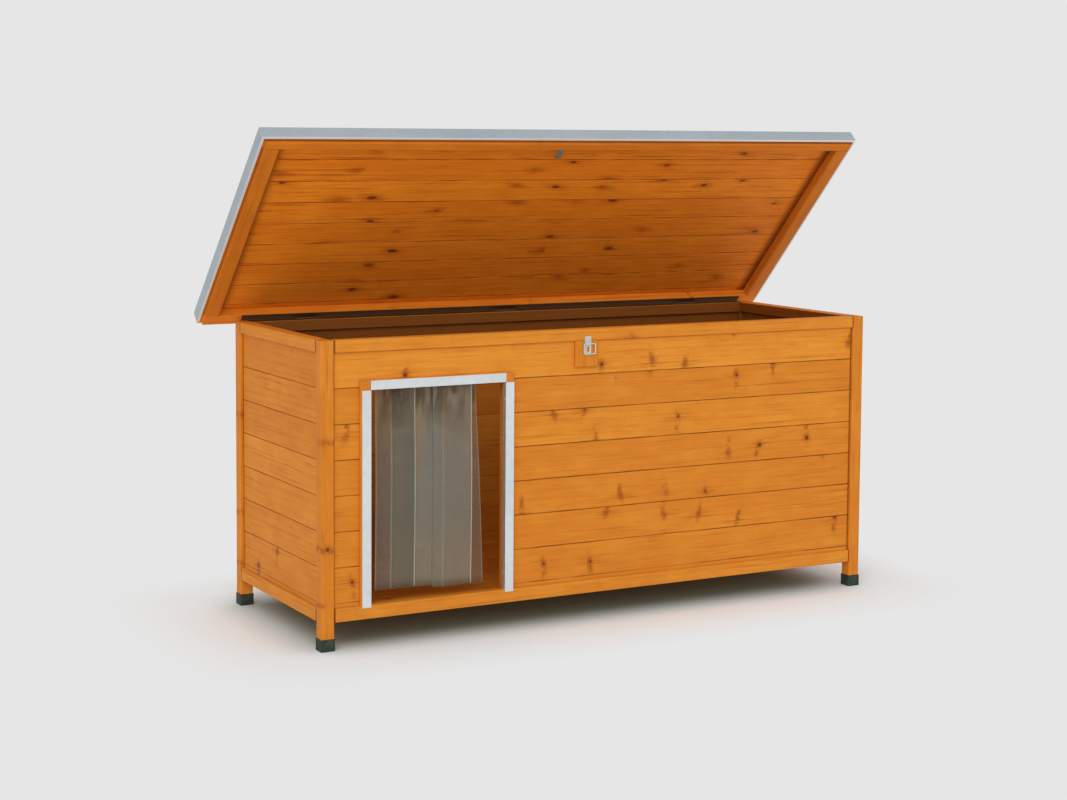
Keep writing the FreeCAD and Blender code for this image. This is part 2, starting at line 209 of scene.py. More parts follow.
timberSettings = {
    # screen colours
    "base": (211, 125, 35),
    "light": (228, 146, 48),
    "dark": (162, 82, 16),
    # dark joint lines between boards, also used for the painted shade at a board's end
    "joint": (112, 56, 14),
    "knot": (96, 46, 14),
    "knotHalo": (176, 92, 24),
    # painted shade on the cabin's inner faces
    "inside": (96, 50, 14),
    "shadowed": (30, 27, 12),
    # visible widths of the boards, and the last wall board, counted down from the top one, which is -1
    "boardCover": 0.081,
    "floorCover": 0.080,
    "lidCover": 0.072,
    "lastBoard": -7,
    # how far the dark line between two boards is at its darkest and reaches, and the same for the painted
    # shade at a board's end, where it meets a post or rail
    "jointDark": 0.0005,
    "jointReach": 0.0021,
    "endShadeDark": 0.0012,
    # each noise: repeats in a metre along and across the grain, detail and roughness
    "ragged": (70, 70, 2.0, 0.5),
    "wander": (0.9, 5, 2.0, 0.5),
    "mottle": (13, 24, 3.0, 0.6),
    "fibre": (11, 460, 3.0, 0.65),
    "streak": (3.4, 150, 3.0, 0.6),
    "cloud": (1.7, 9, 3.0, 0.5),
    "smear": (8, 40, 4.0, 0.65),
    "broken": (14, 3, 3.0, 0.5),
    # repeats in a metre: cells that may hold a knot, places that knots crowd in, and rings
    "knotCells": (8.0, 8.6),
    "knotCrowds": (1.9, 3.1),
    "ringsPerMetre": 330,
    # the smallest knot's radius and what chance adds, as shares of a cell
    "knotRadius": (0.020, 0.032),
    # how rare knots are without the knots of a look, and what each of those takes off
    "knotRare": (1.02, 0.42),
    "roughness": 0.52,
    "gloss": 0.14,
    "bumpDistance": 0.0005,
    "skin": 0.002,
    # the thickness of the painted near-black shade band between box and lid, on the back rail's top and the
    # lid's rear rail
    "bandThick": 0.0013,  # of the near-black band between box and lid
}

# seed draws a timber's own figure, and knots says how many it has
# the reach at a board's end is how far its painted shade spreads; the lid boards' spreads wide beside the
# rails
usualLook = {"knotSize": 1.0, "eyes": False, "figure": 1.0, "joints": 1.0, "endShadeReach": 0.0055, "tint": None}
timberLooks = {
    "frontBoards": {"seed": 3.0, "knots": 1.2, "joints": 0.85},
    "backBoards": {"seed": 21.0, "knots": 0.6, "joints": 0.7},
    "leftBoards": {"seed": 29.0, "knots": 0.6, "joints": 0.7},
    "rightBoards": {"seed": 37.0, "knots": 0.6, "joints": 0.7},
    "railsAlongFront": {"seed": 41.0, "knots": 0.35},
    "railUnderLid": {"seed": 43.0, "knots": 0.35},
    "railsAlongSides": {"seed": 47.0, "knots": 0.35},
    "uprights": {"seed": 53.0, "knots": 0.3},
    "floorBoards": {"seed": 61.0, "knots": 0.8},
    # the lid boards' tint makes them redder and also brightens them as painted fill light on their
    # downward-facing side
    "lidBoards": {"seed": 71.0, "knots": 1.55, "knotSize": 1.25, "eyes": True, "figure": 1.5,
                  "endShadeReach": 0.034, "tint": (1.24, 1.02, 0.60)},
    "lidRailsAlong": {"seed": 83.0, "knots": 0.4, "tint": (1.04, 0.88, 0.68)},
    "lidRailAtHinges": {"seed": 86.0, "knots": 0.4, "tint": (1.06, 0.90, 0.70)},
    "lidRailsAcross": {"seed": 89.0, "knots": 0.4, "tint": (0.86, 0.68, 0.42)},
}

# the cabin's inner faces lie just inside these limits, and the outer faces outside them; the inner faces get
# painted shade
skin = timberSettings["skin"]
cabinRoom = ((highSide("left_boards", "x") - skin, lowSide("right_boards", "x") + skin),
             (highSide("front_boards_left", "y") - skin, lowSide("back_boards", "y") + skin),
             (highSide("floor_boards", "z") - skin, highSide("post_front_left", "z") - skin))


def grainNoise(f, grain, name):
    # a noise drawn out along the grain
    along, across, detail, roughness = timberSettings[name]
    run, side, through = grain
    return f.noise(f.join(run * along, side * across, through * across), 1.0, detail, roughness)


def knotPattern(f, grain, look, ragged):
    # knots sit in some cells only, each with a halo, dark leaves across the grain and wings along it
    s = timberSettings
    run, side = grain[:2]
    spot = f.join(run * s["knotCells"][0], side * s["knotCells"][1], 0.0)
    away = f.cells(spot, 1.0, "Distance", {"voronoi_dimensions": "2D"}, 0.9)
    luck, girth, lean = f.split(away.also("Color"))
    crowd = f.noise(f.join(run * s["knotCrowds"][0], side * s["knotCrowds"][1], 2.0), 1.0, 1.0)
    rare = s["knotRare"][0] - s["knotRare"][1] * look["knots"]
    chosen = (luck + (crowd - 0.5) * 0.5).ramp(rare, rare + 0.03)
    offset = f.add("ShaderNodeVectorMath", {"operation": "SUBTRACT"}, [spot, away.also("Position")])
    along, across = f.split(offset)[:2]
    if look["eyes"]:
        away = ((along * 0.5) ** 2.0 + across ** 2.0) ** 0.5  # twice as long as wide
    radius = (s["knotRadius"][0] + girth * s["knotRadius"][1]) * look["knotSize"]
    near = away / radius + (ragged - 0.5) * 0.8
    core = chosen * (1 - near.ramp(0.55, 1.25))
    halo = chosen * (1 - near.ramp(0.9, 3.4))
    leaf = (along + (ragged - 0.5) * 0.13 + across * (luck - 0.8)).size().ramp(0.0, 0.095, 1.0, 0.0)
    leaf = leaf * (across + (lean - 0.5) * 0.3).size().ramp(0.06, 0.34, 1.0, 0.0) * chosen
    wing = (across * 1.15 + along * (luck - 0.8) * 0.9).size().ramp(0.0, 0.16, 1.0, 0.0)
    wing = wing * along.size().ramp(0.02, 0.46, 1.0, 0.0) * chosen
    solid = core * lean.ramp(0.30, 0.55, 0.22, 0.88)  # some knots are faint
    return core, solid, halo, leaf * (0.1 if look["eyes"] else 0.8), wing


def timber(name, grain, pitch=0.0, start=0.0, lowest=None, ends=(), turn=(0, 0, 0), cabin=True,
           shadow=None):
    # grain lists which axis runs along the board, which across it and which through it
    s = timberSettings
    look = {**usualLook, **timberLooks[name]}
    seed = look["seed"]
    f = newFinish(name)
    here = f.split(f.place())
    axes = f.split(f.place(turn)) if any(turn) else here
    along, across, through = [axes["XYZ".index(letter)] for letter in grain]
    # painted shade where a board's end meets a post or rail
    jointsAndEndShade = [(along - end).size().ramp(s["endShadeDark"], look["endShadeReach"], 0.9, 0.0) for end in ends]
    if pitch:
        number = (across - start) / pitch
        board = number.floor()
        if lowest is not None:
            board = board.atLeast(lowest)
        luck = f.chance(board + seed)
        luckTwo = f.chance(board + (seed + 17.3))
    else:
        luck = f.chance(seed + 0.37)
        luckTwo = f.chance(seed + 5.91)
    grain = (along + luck * 9.0 + seed, across + luckTwo * 3.0, through)
    if pitch:
        fromJoint = ((number - board).size()).atMost((board + 1 - number).size()) * pitch
        broken = grainNoise(f, grain, "broken").ramp(0.34, 0.62, 0.38, 0.95)
        jointsAndEndShade.append(fromJoint.ramp(s["jointDark"], s["jointReach"], 1.0, 0.0) * broken * look["joints"])

    ragged = grainNoise(f, grain, "ragged")
    core, solid, halo, leaf, wing = knotPattern(f, grain, look, ragged)
    lines = grain[1] * s["ringsPerMetre"] + grainNoise(f, grain, "wander") * 11 + halo * 2.6 + luckTwo * 20
    rings = (lines.sine() * 0.5 + 0.5) ** 2.0
    mottle, fibre, streak, cloud, smear = [
        grainNoise(f, grain, kind) for kind in ("mottle", "fibre", "streak", "cloud", "smear")]

    pale = (luck * 0.2 + cloud * 0.38 + mottle * 0.42).ramp(0.3, 0.7)
    dark = rings * 0.06 + fibre.ramp(0.42, 0.75) * 0.26
    dark = dark + streak.ramp(0.52, 0.74) * 0.50 * cloud.ramp(0.3, 0.6)
    dark = dark + smear.ramp(0.6, 0.76) * 0.30 + luckTwo * 0.06
    dark = dark + leaf * ragged.ramp(0.35, 0.62) + wing * streak.ramp(0.40, 0.62) * 0.45
    colour = f.mix(pale, stainColour(*s["base"]), stainColour(*s["light"]))
    colour = f.mix((dark * look["figure"]).atMost(0.95), colour, stainColour(*s["dark"]))
    colour = f.mix(halo * 0.5, colour, stainColour(*s["knotHalo"]))
    colour = f.mix(solid, colour, stainColour(*s["knot"]))

    if cabin:
        room = within(here[0], *cabinRoom[0]) * within(here[1], *cabinRoom[1])
        room = room * within(here[2], *cabinRoom[2])
    # the joint colour darkens both the joint lines and the painted shade at board ends
    if jointsAndEndShade:
        joint = jointsAndEndShade[0]
        for mark in jointsAndEndShade[1:]:
            joint = joint.atLeast(mark)
        # the cabin already has painted shade of its own, so these lines are paler there
        if cabin:
            joint = joint * (1 - room * 0.75)
        colour = f.mix(joint, colour, stainColour(*s["joint"]))
    if look["tint"]:
        colour = f.mix(1.0, colour, (*look["tint"], 1), "MULTIPLY")
    # painted shade on the cabin's inner faces, deeper towards the top, beneath the lid
    if cabin:
        colour = f.mix(room * here[2].ramp(0.50, 0.64, 0.30, 0.85), colour, stainColour(*s["inside"]))
    if shadow:
        colour = f.mix(shadow(*axes) * 0.9, colour, stainColour(*s["shadowed"]))
    height = fibre * 0.5 + rings * 0.3 + core * 0.4 + streak * 0.3
    rough = s["roughness"] + fibre * 0.16 - core * 0.08
    return f.finish(colour, rough, normal=f.bump(height, 0.22, s["bumpDistance"]), gloss=s["gloss"])


def topFace(x, y, z):
    # the top of the rail that the lid's rear rail shades
    return z.over(highSide("back_rail_top", "z") - timberSettings["bandThick"])


s = timberSettings
postEnds = (highSide("post_front_left", "x"), lowSide("post_front_right", "x"))
sideEnds = (highSide("post_front_left", "y"), lowSide("post_back_left", "y"))
boardTop = lowSide("front_rail_top", "z")
for side in ("front", "back", "left", "right"):
    across = side in ("front", "back")
    walls = timber(side + "Boards", "XZY" if across else "YZX", s["boardCover"], boardTop, s["lastBoard"],
                   postEnds if across else sideEnds)
    names = ("_boards_left", "_boards_right", "_board_over_door") if side == "front" else ("_boards",)
    wear(walls, *[side + ending for ending in names])
wear(timber("railsAlongFront", "XZY", ends=postEnds),
     "front_rail_bottom", "front_rail_top", "back_rail_bottom", "door_header")
wear(timber("railUnderLid", "XZY", ends=postEnds, shadow=topFace), "back_rail_top")
wear(timber("railsAlongSides", "YZX", ends=sideEnds),
     "left_rail_bottom", "left_rail_top", "right_rail_bottom", "right_rail_top", "floor_bearers")
wear(timber("uprights", "ZXY"), "post_front_left", "post_front_right", "post_back_left", "post_back_right",
     "door_jamb_left", "door_jamb_right", "latch_block")
wear(timber("floorBoards", "XYZ", s["floorCover"], sideEnds[0]), "floor_boards")

# the lid's timbers are turned back flat, so that their grain runs along them
lidSettings = {
    "angle": math.radians(45.3),
    "firstBoard": 0.032,  # from the hinge line to the first joint
    "frameLift": 0.0039,  # from the hinge line up to the frame's underside
    "rebateDeep": 0.008,
    "rebateFront": 0.6095,
    "rebateSide": 0.8095,
    "rebateReach": 0.0006,
    "shadeFront": 0.6,
    "shadeSide": 0.3,
    "band": (-0.715, 0.752),
}

lid = lidSettings
lidTurn = (lid["angle"], 0, 0)
hinge = Vector(next(joint["pos_m"] for joint in frame["joints"] if joint["name"] == "lid_hinge"))
flatHinge = Matrix.Rotation(lid["angle"], 3, "X") @ hinge
lidEnds = (highSide("lid_rail_left", "x"), lowSide("lid_rail_right", "x"))
underside = flatHinge.z + lid["frameLift"]
rebate = underside + lid["rebateDeep"]


def inRebate(z):
    return within(z, rebate - lid["rebateReach"], rebate + lid["rebateReach"])


def frontShade(x, y, z):
    return inRebate(z) * (1 - y.over(flatHinge.y - lid["rebateFront"])) * lid["shadeFront"]


def sideShade(x, y, z):
    return inRebate(z) * x.size().over(lid["rebateSide"]) * lid["shadeSide"]


def hingeShade(x, y, z):
    # the near-black band along the hinge line
    return (1 - z.over(underside + timberSettings["bandThick"])) * within(x, *lid["band"])


wear(timber("lidBoards", "XYZ", s["lidCover"], flatHinge.y - lid["firstBoard"], ends=lidEnds, turn=lidTurn,
            cabin=False), "lid_boards")
wear(timber("lidRailsAlong", "XYZ", turn=lidTurn, cabin=False, shadow=frontShade), "lid_rail_front")
wear(timber("lidRailAtHinges", "XYZ", turn=lidTurn, cabin=False, shadow=hingeShade), "lid_rail_rear")
wear(timber("lidRailsAcross", "YXZ", turn=lidTurn, cabin=False, shadow=sideShade),
     "lid_rail_left", "lid_rail_right")
print("timber done")


metalSettings = {
    # bright and dull screen colours, crystals in a metre, roughness and how metallic it is
    "galvanisedSheet": ((174, 182, 187), (160, 170, 177), 120.0, 0.42, 0.4),
    "guardMetal": ((228, 232, 233), (216, 221, 223), 110.0, 0.36, 0.8),
    "fixingMetal": ((216, 216, 211), (186, 185, 178), 500.0, 0.3, 0.7),
    "zincPlate": ((216, 216, 211), (186, 185, 178), 400.0, 0.32, 0.45),
    # the hinges' and keeper's zinc: a darker copy of the latch's zinc, as painted shade
    "shadedHingeZinc": ((138, 134, 120), (112, 108, 94), 400.0, 0.42, 0.4),
    # a painted highlight along the lid edging's folded lower edge, with its reach below and above
    "hem": (236, 240, 240),
    "hemBelow": 0.0016,
    "hemAbove": 0.0003,
    "bumpDistance": 0.0003,
}


def sheetMetal(name, turn=(0, 0, 0), hem=None):
    m = metalSettings
    bright, dull, crystalScale, roughness, metallic = m[name]
    f = newFinish(name)
    spot = f.place(turn)
    tone = f.split(f.cells(spot, crystalScale, "Color"))[0]
    cloud = f.noise(spot, 7.0, 3.0)
    scratch = f.noise(f.add("ShaderNodeMapping", {}, {"Vector": spot, "Scale": (3, 160, 160)}), 1.0, 3.0)
    blend = (tone * 0.18 + cloud * 0.62 + scratch * 0.2).ramp(0.25, 0.75)
    paint = f.mix(blend, stainColour(*dull), stainColour(*bright))
    # painted highlight along the folded lower edge
    if hem:
        paint = f.mix(within(f.split(spot)[2], *hem) * 0.85, paint, stainColour(*m["hem"]))
    return f.finish(paint, roughness + tone * 0.08 + scratch * 0.08, metallic,
                    normal=f.bump(scratch * 0.4 + tone * 0.3, 0.12, m["bumpDistance"]))


hem = (rebate - metalSettings["hemBelow"], rebate + metalSettings["hemAbove"])
fixingMetal = sheetMetal("fixingMetal")
wear(sheetMetal("galvanisedSheet", lidTurn, hem), "lid_flange_front", "lid_flange_left", "lid_flange_right")
wear(sheetMetal("guardMetal"), "bite_guard_left", "bite_guard_right", "bite_guard_top", "curtain_clamp")
wear(sheetMetal("zincPlate"), "latch_plate", "latch_bail")
wear(sheetMetal("shadedHingeZinc"), "latch_keeper", "hinge_leaves_box", "hinge_leaves_lid", "hinge_pins")

plasticSettings = {
    "foot": (36, 45, 38),
    "footWorn": (58, 68, 58),
    "felt": (66, 68, 67),
    "feltPale": (122, 124, 121),
}


def footPlastic():
    f = newFinish("footPlastic")
    spot = f.place()
    cloud = f.noise(spot, 40.0, 3.0)
    grit = f.noise(spot, 900.0, 2.0)
    paint = f.mix(cloud.ramp(0.35, 0.75), stainColour(*plasticSettings["foot"]),
                  stainColour(*plasticSettings["footWorn"]))
    return f.finish(paint, 0.48 + cloud * 0.2, normal=f.bump(grit, 0.2, 0.0003), gloss=0.3)


def roofFelt():
    f = newFinish("roofFelt")
    spot = f.place()
    grains = f.cells(spot, 520.0, "Distance")
    speckle = f.split(grains.also("Color"))[0]
    grit = f.noise(spot, 150.0, 3.0, 0.7)
    cloud = f.noise(spot, 3.0, 4.0)
    blend = (speckle * 0.34 + grit * 0.5 + cloud * 0.16).ramp(0.22, 0.80)
    paint = f.mix(blend, stainColour(*plasticSettings["felt"]), stainColour(*plasticSettings["feltPale"]))
    return f.finish(paint, 0.9, normal=f.bump(1 - grains, 0.6, 0.0012))


wear(footPlastic(), "foot_front_left", "foot_front_right", "foot_back_left", "foot_back_right")
wear(roofFelt(), "lid_felt")
print("finishes done")


def rest():
    # leaves edit mode and selects nothing
    if bpy.context.object and bpy.context.object.mode != "OBJECT":
        bpy.ops.object.mode_set(mode="OBJECT")
    bpy.ops.object.select_all(action="DESELECT")


def newest(name, material):
    # names the piece just made and gives it its finish
    piece = bpy.context.active_object
    piece.name = name
    piece.data.name = name
    piece.data.materials.clear()
    piece.data.materials.append(material)
    return piece


def choose(piece):
    rest()
    piece.select_set(True)
    bpy.context.view_layer.objects.active = piece


def applyAll(piece):
    choose(piece)
    for modifier in list(piece.modifiers):
        bpy.ops.object.modifier_apply(modifier=modifier.name)


def seat(piece, body):
    choose(piece)
    bpy.ops.object.transform_apply(location=True, rotation=True, scale=True)
    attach(piece, body)


curtainSettings = {
    "body": (152, 137, 113),
    "cool": (133, 130, 117),
    # colour of the painted highlight along the cut edges, and of pale scuffs
    "edge": (236, 226, 202),
    "murk": (78, 58, 34),
    # on the third strip, where its neighbours leave a gap, as shares of its width
    "dirtStrip": 3,
    "dirtBand": (0.655, 0.745),
    # the last strip's cut edge casts a painted shadow line over this share of its length
    "edgeShadowStrip": 5,
    "edgeShadowReach": (0.38, 0.78),
    "edgeShadowShare": 0.9,
    "doorLeft": -0.611,
    "face": -0.25692,
    "layer": 0.0023,
    "thickness": 0.0019,
    "top": 0.6055,
    "foot": 0.095,
    "flareFrom": 0.580,
    "bendFrom": 0.590,
    "bendTo": 0.578,
    "corner": 0.004,
    "sway": 0.0032,
    "crease": 0.0006,
    "creaseHeight": 0.50,
    "creaseReach": 0.055,
    "squares": (18, 64),
    # from the doorway's left edge, layer, lift over the sill, width above and width below, in millimetres,
    # then how strong the painted highlight on its left and right edges is, how cloudy it is and how bright,
    # where less than 1 is painted shade
    "strips": ((25, 0, 24, 100, 100, 0.2, 0.5, 0.38, 0.72), (64, 1, 23, 100, 100, 1.0, 0.0, 0.46, 1.0),
               (97, 2, 21, 100, 100, 0.0, 1.0, 0.34, 1.0), (170, 0, 17, 100, 100, 0.0, 0.5, 0.44, 1.0),
               (197, 1, 15, 84, 105, 1.0, 0.2, 0.26, 0.7)),
}


def softPlastic(number, highlightLeft, highlightRight, cloudy, bright):
    # cloudy clear plastic, more solid along its cut edges with a painted highlight there, and darker above
    # and at the foot
    c = curtainSettings
    f = newFinish("softPlastic%d" % number)
    seed = number * 3.7
    x = f.split(f.place())[0]
    u, v = f.split(f.add("ShaderNodeTexCoord", output="UV"))[:2]
    streak = f.noise(f.join(x * 60, seed, v * 0.8), 1.0, 3.0)
    crease = f.noise(f.join(x * 34, seed, v * 4.2), 1.0, 4.0, 0.6)
    scuff = f.noise(f.join(x * 16, seed, v * 22), 1.0, 4.0, 0.7)
    murk = (crease.ramp(0.43, 0.58) * v.ramp(0.66, 0.95)).atMost(1.0)
    middle = v.ramp(0.12, 0.40) * v.ramp(0.62, 0.90, 1.0, 0.0)
    coolness = (streak.ramp(0.32, 0.62) * 0.6 + middle * 0.5).atMost(1.0)
    paint = f.mix(coolness, stainColour(*c["body"]), stainColour(*c["cool"]))
    # painted shade: a strip with brightness below 1 is a darker copy of the same plastic
    if bright < 1:
        paint = f.mix(1.0, paint, (bright, bright * 0.97, bright * 0.9, 1), "MULTIPLY")
    paint = f.mix(murk * 0.9, paint, stainColour(*c["murk"]))
    paint = f.mix(scuff.ramp(0.56, 0.7) * 0.08, paint, stainColour(*c["edge"]))
    paint = f.mix(v.ramp(0.0, 0.045, 0.6, 0.0), paint, stainColour(*c["murk"]))
    # painted highlight along the chosen cut edges
    rimHighlight = (u.ramp(0.024, 0.050, highlightLeft, 0.0)).atLeast((1 - u).ramp(0.012, 0.030, highlightRight, 0.0))
    paint = f.mix(rimHighlight * 0.9, paint, stainColour(*c["edge"]))
    solid = cloudy + (streak - 0.5) * 0.34 + rimHighlight * 0.5 + murk * 0.22 + v.ramp(0.02, 0.16, 1.0, 0.0) * 0.04
    # painted shadow line cast by the last strip's cut edge
    if number == c["edgeShadowStrip"]:
        edgeShadow = u.ramp(0.014, 0.030) * u.ramp(0.030, 0.046, 1.0, 0.0)
        edgeShadow = edgeShadow * within(v, *c["edgeShadowReach"]) * c["edgeShadowShare"]
        paint = f.mix(edgeShadow, paint, stainColour(*c["murk"]))
        solid = solid + edgeShadow * 0.5
    if number == c["dirtStrip"]:
        solid = solid + within(u, *c["dirtBand"]) * 0.4
    return f.finish(paint, 0.34 + streak * 0.2, alpha=solid.atMost(1.0).atLeast(0.0),
                    normal=f.bump(streak + crease * 0.6, 0.12, 0.0006), gloss=0.3)


def hang(x, z):
    # how far the soft strips stand forward or back at this place: all share it, so that they nest
    # slow waves run down them, and fine creases stand across them about one height
    c = curtainSettings
    free = min(max((c["bendTo"] - 0.01 - z) / 0.10, 0.0), 1.0)
    free = free * free * (3 - 2 * free)
    sway = math.sin(z * 11.5 + 0.7) * 0.6 + math.sin(z * 5.3 + x * 9.0) * 0.4
    near = math.exp(-((z - c["creaseHeight"]) / c["creaseReach"]) ** 2)
    crease = math.sin(x * 128 + math.sin(z * 40) * 0.8) + 0.6 * math.sin(x * 311 + z * 30)
    return free * (c["sway"] * sway + c["crease"] * crease * near)


def softStrip(number, margin, layer, lift, widthAbove, widthBelow, highlightLeft, highlightRight, cloudy, bright):
    c = curtainSettings
    rest()
    columns, rows = c["squares"]
    bpy.ops.mesh.primitive_grid_add(x_subdivisions=columns, y_subdivisions=rows, size=1.0, location=(0, 0, 0))
    strip = newest("soft_strip_%d" % number, softPlastic(number, highlightLeft, highlightRight, cloudy, bright))
    left = c["doorLeft"] + margin / 1000
    face = c["face"] + layer * c["layer"]
    foot = c["foot"] + lift / 1000
    for vertex in strip.data.vertices:
        across = vertex.co.x + 0.5
        z = foot + (vertex.co.y + 0.5) * (c["top"] - foot)
        down = min(max((c["flareFrom"] - z) / (c["flareFrom"] - foot), 0.0), 1.0)
        x = left + across * (widthAbove + (widthBelow - widthAbove) * down) / 1000
        vertex.co = (x, face + hang(x, z), z)
    bpy.ops.object.mode_set(mode="EDIT")
    bpy.ops.mesh.select_mode(type="VERT")
    bpy.ops.mesh.select_all(action="DESELECT")
    bpy.ops.object.mode_set(mode="OBJECT")
    lowRow = [v for v in strip.data.vertices if v.co.z < foot + 0.0001]
    for corner in (min(lowRow, key=lambda v: v.co.x), max(lowRow, key=lambda v: v.co.x)):
        corner.select = True
    bpy.ops.object.mode_set(mode="EDIT")
    bpy.ops.mesh.bevel(offset=c["corner"], segments=4, affect="VERTICES")
    rest()
    wall = strip.modifiers.new("wall", "SOLIDIFY")
    wall.thickness = c["thickness"]
    wall.offset = -1
    applyAll(strip)
    bpy.ops.object.shade_smooth_by_angle(angle=math.radians(50))
    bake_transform(strip)
    solids = ["curtain_strip_%d" % number] + (["curtain_top_ends"] if number == 1 else [])
    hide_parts(*solids)


for number, values in enumerate(curtainSettings["strips"], 1):
    softStrip(number, *values)
print("curtain done")


screwSettings = {
    # radius and height of each kind of head
    "guard": (0.0028, 0.0010),
    "latch": (0.0021, 0.0009),
    "keeper": (0.0021, 0.0009),
    "hinge": (0.0029, 0.0010),
    "clamp": (0.0032, 0.0012),
    "nail": (0.0036, 0.0008),
    # the recess's length and width as shares of the radius, then its depth and the rounding of the height
    "recess": 0.55,
    "slot": 0.2,
    "recessDeep": 0.55,
    "roundOff": 0.6,
    # the first head's turn and what each next one adds
    "turned": (0.3, 0.9),
}


def screwHead(name, radius, height, recess=True):
    # a low round head on the origin, facing up, with a cross recess
    rest()
    bpy.ops.mesh.primitive_cylinder_add(vertices=20, radius=radius, depth=height, location=(0, 0, height / 2))
    head = newest(name, fixingMetal)
    edge = head.modifiers.new("edge", "BEVEL")
    edge.width = height * screwSettings["roundOff"]
    edge.segments = 3
    edge.limit_method = "ANGLE"
    edge.angle_limit = math.radians(50)
    applyAll(head)
    if recess:
        reach = radius * screwSettings["recess"]
        slot = radius * screwSettings["slot"]
        deep = height * screwSettings["recessDeep"]
        for size in ((reach, slot, deep), (slot, reach, deep)):
            rest()
            bpy.ops.mesh.primitive_cube_add(size=2.0, location=(0, 0, height), scale=size)
            cutter = bpy.context.active_object
            cut = head.modifiers.new("recess", "BOOLEAN")
            cut.operation = "DIFFERENCE"
            cut.object = cutter
            applyAll(head)
            bpy.data.objects.remove(cutter)
    return head


def setFixings(name, kind, body, spots, recess=True):
    # one head is modelled, then copied to each place and turned to face out
    radius, height = screwSettings[kind]
    first, step = screwSettings["turned"]
    model = screwHead("oneHead", radius, height, recess)
    rest()
    for number, (place, way) in enumerate(spots):
        turn = Vector(way).to_track_quat("Z", "Y").to_matrix().to_4x4()
        mesh = model.data.copy()
        mesh.transform(Matrix.Translation(place) @ turn @ Matrix.Rotation(step * number + first, 4, "Z"))
        copy = bpy.data.objects.new(name, mesh)
        bpy.context.collection.objects.link(copy)
        copy.select_set(True)
        bpy.context.view_layer.objects.active = copy
    bpy.data.objects.remove(model)
    bpy.ops.object.join()
    heads = newest(name, fixingMetal)
    bpy.ops.object.shade_smooth_by_angle(angle=math.radians(35))
    seat(heads, body)


def lidWay(x, forward, height):
    # a direction on the lid, given as if the lid lay flat
    return tuple(Matrix.Rotation(-lid["angle"], 3, "X") @ Vector((x, -forward, height)))


def lidSpot(x, forward, height):
    # a place on the lid, given flat and forward of its hinge line
    return tuple(Vector(lidWay(x, forward, height)) + hinge)


fixingPlaces = {
    "guardLeft": -0.6100,
    "guardRight": -0.2685,
    "guardAbove": 0.5850,
    "guardFront": -0.2813,
    "guardHeights": (0.135, 0.340, 0.545),
    "guardAcross": (-0.560, -0.439, -0.318),
    "latchAcross": (-0.0533, -0.0447),
    "latchFront": -0.28994,
    "latchHeight": 0.6755,
    "clampAcross": (-0.575, -0.450, -0.325),
    "clampBack": -0.24704,
    "clampHeight": 0.596,
    # each hinge's middle, and its holes aside of that: with their height on the box
    "hinges": (-0.541, 0.019, 0.579),
    "boxHoles": ((-0.019, 0.672), (0, 0.681), (0.019, 0.672)),
    "boxBack": 0.25356,
    "lidHoles": (-0.020, 0.020),
    "lidHoleBehind": 0.0085,
    "lidHoleHeight": 0.0024,
    # across, forward of the hinge line and up from it
    "keeperAcross": (-0.0527, -0.0453),
    "keeperForward": 0.589,
    "keeperHeight": 0.0165,
    # nails of the lid's edging: first place, step and number, along the front and along each side
    "frontNails": (-0.800, 0.160, 11),
    "sideNails": (0.045, 0.135, 4),
    "nailFront": 0.610,
    "nailSides": (-0.809, 0.809),
    "nailHeight": 0.0429,
}


def nails():
    p = fixingPlaces
    first, step, count = p["frontNails"]
    spots = [(first + step * k, p["nailFront"]) for k in range(count)]
    first, step, count = p["sideNails"]
    spots += [(x, first + step * k) for x in p["nailSides"] for k in range(count)]
    return [(lidSpot(x, forward, p["nailHeight"]), lidWay(0, 0, 1)) for x, forward in spots]


p = fixingPlaces
guardSpots = [((p["guardLeft"], p["guardFront"], z), (1, 0, 0)) for z in p["guardHeights"]]
guardSpots += [((p["guardRight"], p["guardFront"], z), (-1, 0, 0)) for z in p["guardHeights"]]
guardSpots += [((x, p["guardFront"], p["guardAbove"]), (0, 0, -1)) for x in p["guardAcross"]]
setFixings("guard_screws", "guard", "house", guardSpots)
setFixings("latch_screws", "latch", "house",
           [((x, p["latchFront"], p["latchHeight"]), (0, -1, 0)) for x in p["latchAcross"]])
setFixings("hinge_screws_box", "hinge", "house",
           [((middle + aside, p["boxBack"], height), (0, 1, 0)) for middle in p["hinges"]
            for aside, height in p["boxHoles"]])
setFixings("clamp_screws", "clamp", "house",
           [((x, p["clampBack"], p["clampHeight"]), (0, 1, 0)) for x in p["clampAcross"]])
setFixings("keeper_screws", "keeper", "lid",
           [(lidSpot(x, p["keeperForward"], p["keeperHeight"]), lidWay(0, -1, 0)) for x in p["keeperAcross"]])
setFixings("hinge_screws_lid", "hinge", "lid",
           [(lidSpot(middle + aside, -p["lidHoleBehind"], p["lidHoleHeight"]), lidWay(0, 0, -1))
            for middle in p["hinges"] for aside in p["lidHoles"]])
setFixings("flange_nails", "nail", "lid", nails(), recess=False)
print("fixings done")


studioSettings = {
    # the floor is a little duller to light that bounces off it than to the camera
    "floorBounce": 0.84,
    "floorSeen": 0.96,
    "background": 0.791,
    # half the length and depth of the box, and the share of red, green and blue in the painted shadow beneath
    # it and on the floor beside it
    "house": (0.76, 0.28),
    "paintedShadowShare": (0.28, 0.35, 0.30),
    "shadowAlong": (0.60, 0.84),
    "shadowAcross": (0.18, 0.37),
    "clear": (0.995, 1.05, 1.065),
    "clearFrom": 0.02,
    "clearTo": 0.35,
    "floorSize": 60,
    "skyStrength": 0.62,
    "sunStrength": 1.36,
    "sunRise": 26.0,
    "sunSide": -34.0,
    "sunWidth": 50.0,
}


